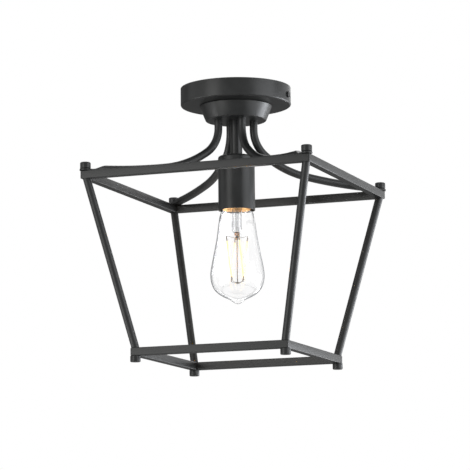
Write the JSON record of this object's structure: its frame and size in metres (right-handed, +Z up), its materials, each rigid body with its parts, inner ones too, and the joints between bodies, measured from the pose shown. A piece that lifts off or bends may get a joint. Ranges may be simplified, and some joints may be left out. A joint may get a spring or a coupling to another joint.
{
  "type": "porch ceiling lantern",
  "caption": "Open-cage porch ceiling lantern: round canopy, tapered collar, curved arms, square frames joined by leaning rods, and one clear bulb in a black socket cup.",
  "frame": {"origin": "centre of the canopy's rim, on the ceiling plane", "axes": "+Z up into the ceiling, -Y towards the viewer's side, +X to the right; the lantern hangs down -Z"},
  "size_m": [0.2596, 0.2596, 0.3031],
  "materials": {
    "black_powder_coat": "satin black powder coat",
    "zinc_plated_steel": "zinc plated",
    "brass": "drawn brass",
    "green_screw": "green dyed zinc",
    "copper": "bare copper",
    "white_porcelain": "glazed porcelain",
    "black_insulation": "smooth PVC",
    "white_insulation": "smooth PVC",
    "orange_plastic": "moulded plastic",
    "clear_glass": "clear blown glass",
    "black_glass": "vitreous",
    "solder": "soft solder",
    "filament_phosphor": "phosphor coated stick",
    "nickel_wire": "nickel wire"
  },
  "bodies": {
    "lantern": {"arm_back_left": "black_powder_coat", "arm_back_right": "black_powder_coat", "arm_front_left": "black_powder_coat", "arm_front_right": "black_powder_coat", "arm_nuts": "zinc_plated_steel", "bottom_rail_back": "black_powder_coat", "bottom_rail_front": "black_powder_coat", "bottom_rail_left": "black_powder_coat", "bottom_rail_right": "black_powder_coat", "canopy": "black_powder_coat", "canopy_lock_washer": "zinc_plated_steel", "canopy_nut": "zinc_plated_steel", "cap_nuts": "black_powder_coat", "cap_washers": "black_powder_coat", "collar_bush": "zinc_plated_steel", "collar_cup": "black_powder_coat", "contact_foot": "brass", "corner_studs": "zinc_plated_steel", "cup_nut": "zinc_plated_steel", "foot_nuts": "black_powder_coat", "foot_studs": "zinc_plated_steel", "ground_screws": "green_screw", "ground_wire": "copper", "lead_wire_black": "black_insulation", "lead_wire_white": "white_insulation", "leg_back_left": "black_powder_coat", "leg_back_right": "black_powder_coat", "leg_front_left": "black_powder_coat", "leg_front_right": "black_powder_coat", "mounting_crossbar": "zinc_plated_steel", "screw_shell": "brass", "side_screws": "black_powder_coat", "socket_body": "white_porcelain", "socket_bracket": "zinc_plated_steel", "socket_cup": "black_powder_coat", "socket_screws": "zinc_plated_steel", "stem_sleeve": "black_powder_coat", "terminal_screws": "brass", "threaded_pipe": "zinc_plated_steel", "top_rail_back": "black_powder_coat", "top_rail_front": "black_powder_coat", "top_rail_left": "black_powder_coat", "top_rail_right": "black_powder_coat", "wire_connectors": "orange_plastic"},
    "contact": {"contact_leaf": "brass"},
    "bulb_tip": {"bulb_tip_contact": "solder"},
    "bulb": {"bulb_filaments": "filament_phosphor", "bulb_glass": "clear_glass", "bulb_insulator": "black_glass", "bulb_screw_base": "brass", "bulb_stem_glass": "clear_glass", "bulb_support_rod": "nickel_wire", "filament_clips": "nickel_wire", "filament_wires": "nickel_wire"}
  },
  "joints": [
    {"name": "contact_flex", "type": "hinge", "parent": "lantern", "child": "contact", "pos_m": [-0.005, 0, -0.09245], "axis": [0, -1, 0], "range_deg": [0, 8], "stiffness_Nm_per_rad": 0.05},
    {"name": "bulb_feed", "type": "slide", "parent": "lantern", "child": "bulb_tip", "axis": [0, 0, -1], "range_m": [0, 0.0255]},
    {"name": "bulb_turn", "type": "hinge", "parent": "bulb_tip", "child": "bulb", "pos_m": [0, 0, -0.11], "axis": [0, 0, -1], "range_deg": [0, 2520]}
  ],
  "couplings": [
    {"joint": "bulb_feed", "follows": "bulb_turn", "m_per_rad": 0.0005775}
  ]
}
